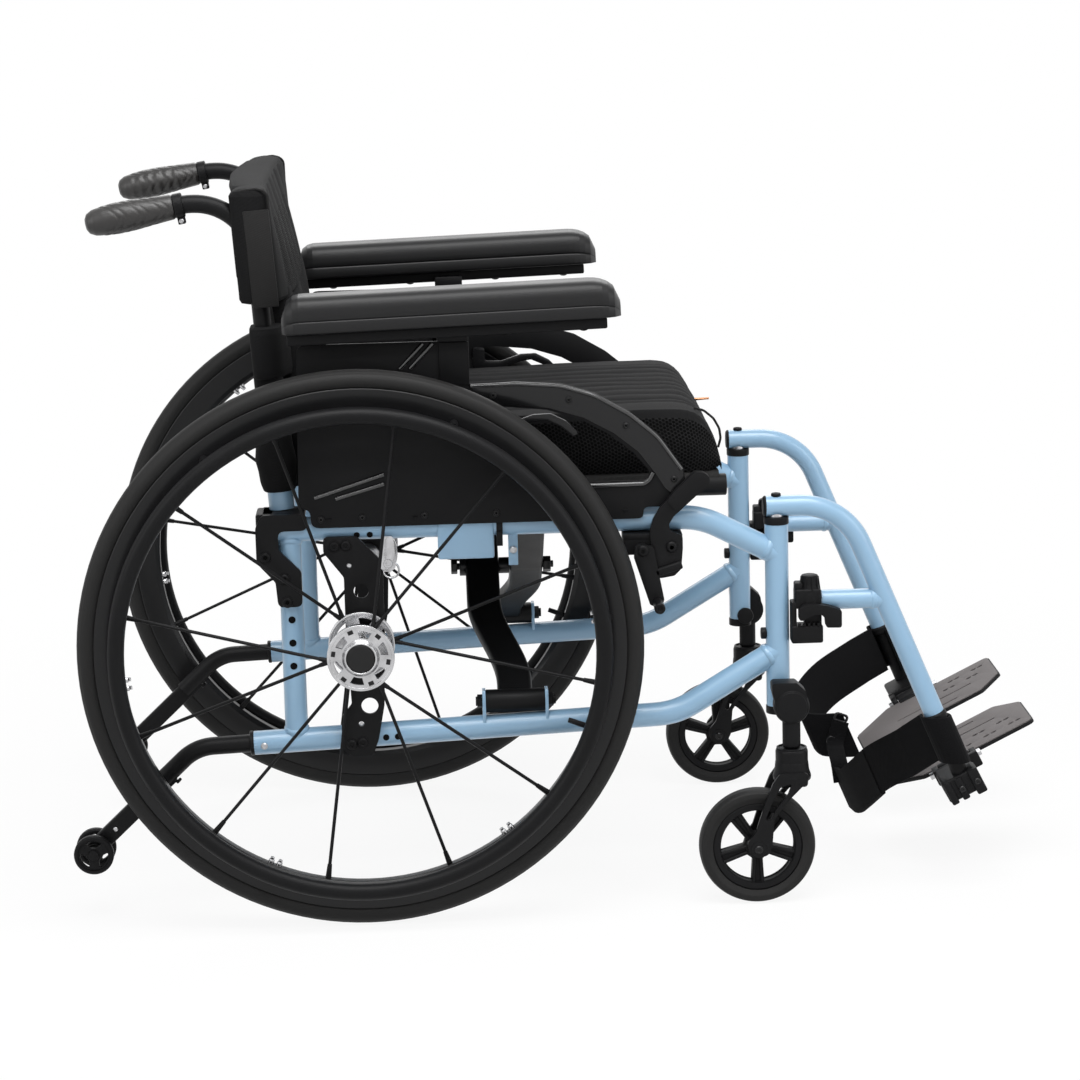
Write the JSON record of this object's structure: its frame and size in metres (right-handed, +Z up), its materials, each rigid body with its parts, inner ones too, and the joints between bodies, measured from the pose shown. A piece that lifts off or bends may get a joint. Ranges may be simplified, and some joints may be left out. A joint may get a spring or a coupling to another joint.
{
  "type": "folding wheelchair",
  "caption": "Folding X-frame wheelchair with spoked rear wheels, handrims, swivel casters, armrests, swing-away footrests and anti-tip bars.",
  "frame": {"origin": "centre of the chair's footprint, on the floor", "axes": "+X forward, +Y to the chair's left, +Z up"},
  "size_m": [1.0408, 0.6244, 0.7755],
  "materials": {
    "blue_paint": "gloss",
    "black_metal": "satin",
    "black_plastic": "matte",
    "tyre_rubber": "matte",
    "bright_aluminium": "polished",
    "grip_rubber": "matte",
    "pad_foam": "satin",
    "fabric": "woven",
    "webbing": "woven",
    "footplate_grey": "matte"
  },
  "bodies": {
    "frame_R": {"side_frame_R": "blue_paint", "axle_plate_R": "black_metal", "wheel_axle_R": "bright_aluminium", "caster_housing_R": "black_plastic", "side_guard_R": "black_plastic", "back_bracket_R": "black_plastic", "back_cane_R": "blue_paint", "push_handle_R": "black_metal", "push_grip_R": "grip_rubber", "wheel_lock_bracket_R": "black_plastic", "seat_sling": "fabric", "seat_cushion": "fabric", "back_upholstery": "fabric", "calf_strap": "webbing"},
    "frame_L": {"side_frame_L": "blue_paint", "axle_plate_L": "black_metal", "wheel_axle_L": "bright_aluminium", "caster_housing_L": "black_plastic", "side_guard_L": "black_plastic", "back_bracket_L": "black_plastic", "back_cane_L": "blue_paint", "push_handle_L": "black_metal", "push_grip_L": "grip_rubber", "wheel_lock_bracket_L": "black_plastic"},
    "arm_A": {"cross_arm_A": "black_metal"},
    "arm_B": {"cross_arm_B": "black_metal"},
    "wheel_R": {"rear_wheel_R": "black_metal", "rear_tyre_R": "tyre_rubber", "handrim_R": "black_metal"},
    "fork_R": {"caster_fork_R": "black_metal"},
    "caster_R": {"caster_wheel_R": "black_plastic", "caster_tyre_R": "tyre_rubber"},
    "hanger_R": {"hanger_R": "blue_paint", "footplate_clamp_R": "black_plastic"},
    "latch_R": {"hanger_latch_R": "black_plastic"},
    "footplate_pin_R": {"footplate_pin_R": "bright_aluminium"},
    "footplate_R": {"footplate_R": "footplate_grey"},
    "wheel_lock_lever_R": {"wheel_lock_lever_R": "black_metal"},
    "wheel_lock_shoe_R": {"wheel_lock_shoe_R": "black_metal"},
    "armrest_R": {"armrest_pad_R": "pad_foam", "armrest_post_R": "black_plastic"},
    "anti_tip_R": {"anti_tip_bar_R": "black_metal"},
    "anti_tip_roller_R": {"anti_tip_wheels_R": "tyre_rubber"},
    "wheel_L": {"rear_wheel_L": "black_metal", "rear_tyre_L": "tyre_rubber", "handrim_L": "black_metal"},
    "fork_L": {"caster_fork_L": "black_metal"},
    "caster_L": {"caster_wheel_L": "black_plastic", "caster_tyre_L": "tyre_rubber"},
    "hanger_L": {"hanger_L": "blue_paint", "footplate_clamp_L": "black_plastic"},
    "latch_L": {"hanger_latch_L": "black_plastic"},
    "footplate_pin_L": {"footplate_pin_L": "bright_aluminium"},
    "footplate_L": {"footplate_L": "footplate_grey"},
    "wheel_lock_lever_L": {"wheel_lock_lever_L": "black_metal"},
    "wheel_lock_shoe_L": {"wheel_lock_shoe_L": "black_metal"},
    "armrest_L": {"armrest_pad_L": "pad_foam", "armrest_post_L": "black_plastic"},
    "anti_tip_L": {"anti_tip_bar_L": "black_metal"},
    "anti_tip_roller_L": {"anti_tip_wheels_L": "tyre_rubber"}
  },
  "joints": [
    {"name": "fold", "type": "hinge", "parent": "frame_R", "child": "arm_A", "pos_m": [-0.04697, -0.215, 0.2225], "axis": [1, 0, 0], "range_deg": [0, 46], "deforming": ["seat_sling", "seat_cushion", "back_upholstery", "calf_strap"]},
    {"name": "cross_turn", "type": "hinge", "parent": "arm_A", "child": "arm_B", "pos_m": [-0.05072, 0, 0.325], "axis": [1, 0, 0], "range_deg": [-92, 0]},
    {"name": "left_pivot", "type": "hinge", "parent": "arm_B", "child": "frame_L", "pos_m": [-0.04697, 0.215, 0.2225], "axis": [1, 0, 0], "range_deg": [0, 46]},
    {"name": "wheel_spin_R", "type": "hinge", "parent": "frame_R", "child": "wheel_R", "pos_m": [-0.20697, -0.27, 0.295], "axis": [0, 1, 0], "continuous": true},
    {"name": "caster_swivel_R", "type": "hinge", "parent": "frame_R", "child": "fork_R", "pos_m": [0.24403, -0.2405, 0.15], "axis": [0, 0, 1], "continuous": true},
    {"name": "caster_spin_R", "type": "hinge", "parent": "fork_R", "child": "caster_R", "pos_m": [0.20603, -0.2405, 0.062], "axis": [0, 1, 0], "continuous": true},
    {"name": "hanger_swing_R", "type": "hinge", "parent": "frame_R", "child": "hanger_R", "pos_m": [0.23303, -0.215, 0.4235], "axis": [0, 0, 1], "range_deg": [-100, 0]},
    {"name": "hanger_release_R", "type": "hinge", "parent": "hanger_R", "child": "latch_R", "pos_m": [0.26503, -0.215, 0.3], "axis": [0, 0, 1], "range_deg": [-12, 0], "stiffness_Nm_per_rad": 0.3},
    {"name": "footplate_fold_R", "type": "hinge", "parent": "hanger_R", "child": "footplate_pin_R", "pos_m": [0.43155, -0.159, 0.12079], "axis": [0.8949, 0, 0.4462], "range_deg": [0, 85]},
    {"name": "footplate_flip_R", "type": "hinge", "parent": "footplate_pin_R", "child": "footplate_R", "pos_m": [0.43155, -0.159, 0.12079], "axis": [-0.8949, 0, -0.4462], "range_deg": [-85, 0]},
    {"name": "wheel_lock_R", "type": "hinge", "parent": "frame_R", "child": "wheel_lock_lever_R", "pos_m": [0.12043, -0.237, 0.3878], "axis": [0, 1, 0], "range_deg": [0, 30]},
    {"name": "wheel_lock_press_R", "type": "hinge", "parent": "frame_R", "child": "wheel_lock_shoe_R", "pos_m": [0.09003, -0.243, 0.3856], "axis": [0, 1, 0], "range_deg": [0, 12.15]},
    {"name": "armrest_height_R", "type": "slide", "parent": "frame_R", "child": "armrest_R", "axis": [0, 0, 1], "range_m": [0, 0.1]},
    {"name": "anti_tip_turn_R", "type": "hinge", "parent": "frame_R", "child": "anti_tip_R", "pos_m": [-0.32497, -0.215, 0.185], "axis": [-0.9992, 0, -0.0394], "range_deg": [-180, 0]},
    {"name": "anti_tip_spin_R", "type": "hinge", "parent": "anti_tip_R", "child": "anti_tip_roller_R", "pos_m": [-0.49917, -0.215, 0.0722], "axis": [0, 1, 0], "continuous": true},
    {"name": "wheel_spin_L", "type": "hinge", "parent": "frame_L", "child": "wheel_L", "pos_m": [-0.20697, 0.27, 0.295], "axis": [0, 1, 0], "continuous": true},
    {"name": "caster_swivel_L", "type": "hinge", "parent": "frame_L", "child": "fork_L", "pos_m": [0.24403, 0.2405, 0.15], "axis": [0, 0, 1], "continuous": true},
    {"name": "caster_spin_L", "type": "hinge", "parent": "fork_L", "child": "caster_L", "pos_m": [0.20603, 0.2405, 0.062], "axis": [0, 1, 0], "continuous": true},
    {"name": "hanger_swing_L", "type": "hinge", "parent": "frame_L", "child": "hanger_L", "pos_m": [0.23303, 0.215, 0.4235], "axis": [0, 0, -1], "range_deg": [-100, 0]},
    {"name": "hanger_release_L", "type": "hinge", "parent": "hanger_L", "child": "latch_L", "pos_m": [0.26503, 0.215, 0.3], "axis": [0, 0, -1], "range_deg": [-12, 0], "stiffness_Nm_per_rad": 0.3},
    {"name": "footplate_fold_L", "type": "hinge", "parent": "hanger_L", "child": "footplate_pin_L", "pos_m": [0.43155, 0.159, 0.12079], "axis": [-0.8949, 0, -0.4462], "range_deg": [0, 85]},
    {"name": "footplate_flip_L", "type": "hinge", "parent": "footplate_pin_L", "child": "footplate_L", "pos_m": [0.43155, 0.159, 0.12079], "axis": [0.8949, 0, 0.4462], "range_deg": [-85, 0]},
    {"name": "wheel_lock_L", "type": "hinge", "parent": "frame_L", "child": "wheel_lock_lever_L", "pos_m": [0.12043, 0.237, 0.3878], "axis": [0, 1, 0], "range_deg": [0, 30]},
    {"name": "wheel_lock_press_L", "type": "hinge", "parent": "frame_L", "child": "wheel_lock_shoe_L", "pos_m": [0.09003, 0.243, 0.3856], "axis": [0, 1, 0], "range_deg": [0, 12.15]},
    {"name": "armrest_height_L", "type": "slide", "parent": "frame_L", "child": "armrest_L", "axis": [0, 0, 1], "range_m": [0, 0.1]},
    {"name": "anti_tip_turn_L", "type": "hinge", "parent": "frame_L", "child": "anti_tip_L", "pos_m": [-0.32497, 0.215, 0.185], "axis": [0.9992, 0, 0.0394], "range_deg": [-180, 0]},
    {"name": "anti_tip_spin_L", "type": "hinge", "parent": "anti_tip_L", "child": "anti_tip_roller_L", "pos_m": [-0.49917, 0.215, 0.0722], "axis": [0, 1, 0], "continuous": true}
  ],
  "couplings": [
    {"joint": "cross_turn", "follows": "fold", "ratio": -2},
    {"joint": "left_pivot", "follows": "fold", "ratio": 1},
    {"joint": "footplate_fold_R", "follows": "fold", "ratio": 1.8478},
    {"joint": "wheel_lock_press_R", "follows": "wheel_lock_R", "ratio": 0.405},
    {"joint": "footplate_fold_L", "follows": "fold", "ratio": 1.8478},
    {"joint": "wheel_lock_press_L", "follows": "wheel_lock_L", "ratio": 0.405}
  ]
}
